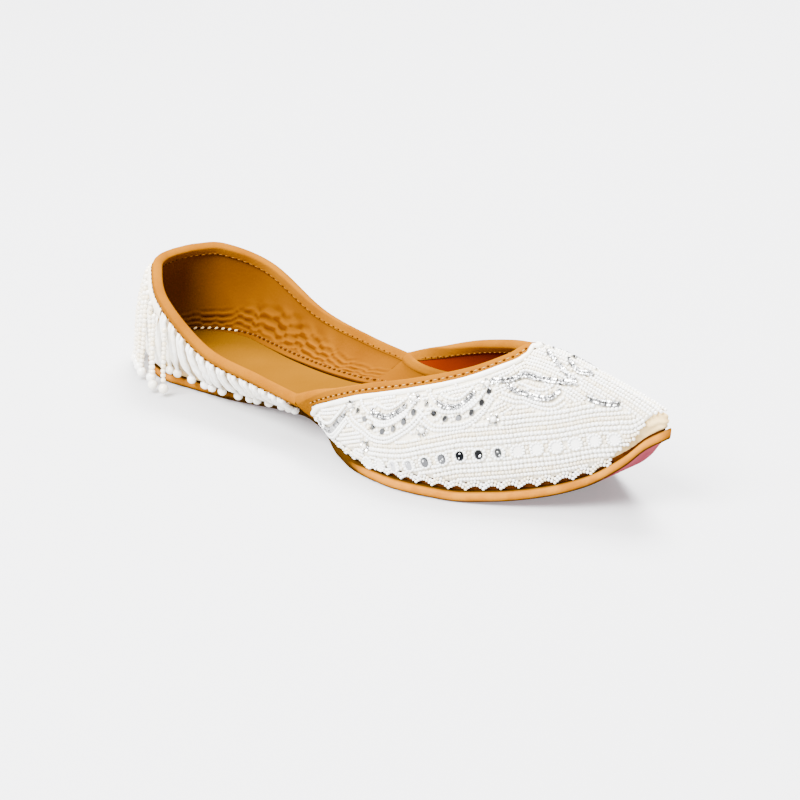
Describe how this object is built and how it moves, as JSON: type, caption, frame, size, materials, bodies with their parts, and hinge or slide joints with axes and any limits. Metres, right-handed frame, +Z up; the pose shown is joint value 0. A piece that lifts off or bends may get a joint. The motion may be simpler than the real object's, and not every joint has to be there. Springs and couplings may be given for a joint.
{
  "type": "mojari shoe",
  "caption": "Flat leather slip-on shoe for the right foot, with an upturned pointed toe, a beaded vamp, bound edges and a pearl fringe round the heel.",
  "frame": {"origin": "middle of the bounding box on the floor that the sole stands on", "axes": "+X towards the toe, +Y to the wearer's left, +Z up"},
  "size_m": [0.2566, 0.0844, 0.0533],
  "materials": {
    "sole_leather": "plain cut vegetable-tanned leather",
    "lining_leather": "smooth mustard lining leather",
    "upper_leather": "undyed cream leather",
    "binding_leather": "soft tan leather",
    "beads": "ivory glass seed beads with silver wire and small mirrors",
    "pearl": "pearly white"
  },
  "bodies": {
    "root": {"outsole": "sole_leather", "insole": "lining_leather", "upper": "upper_leather", "quarter_binding": "binding_leather", "vamp_binding": "binding_leather", "vamp_beadwork": "beads", "quarter_fringe_left": "beads", "quarter_fringe_right": "beads", "heel_tassel": "pearl"}
  },
  "joints": []
}
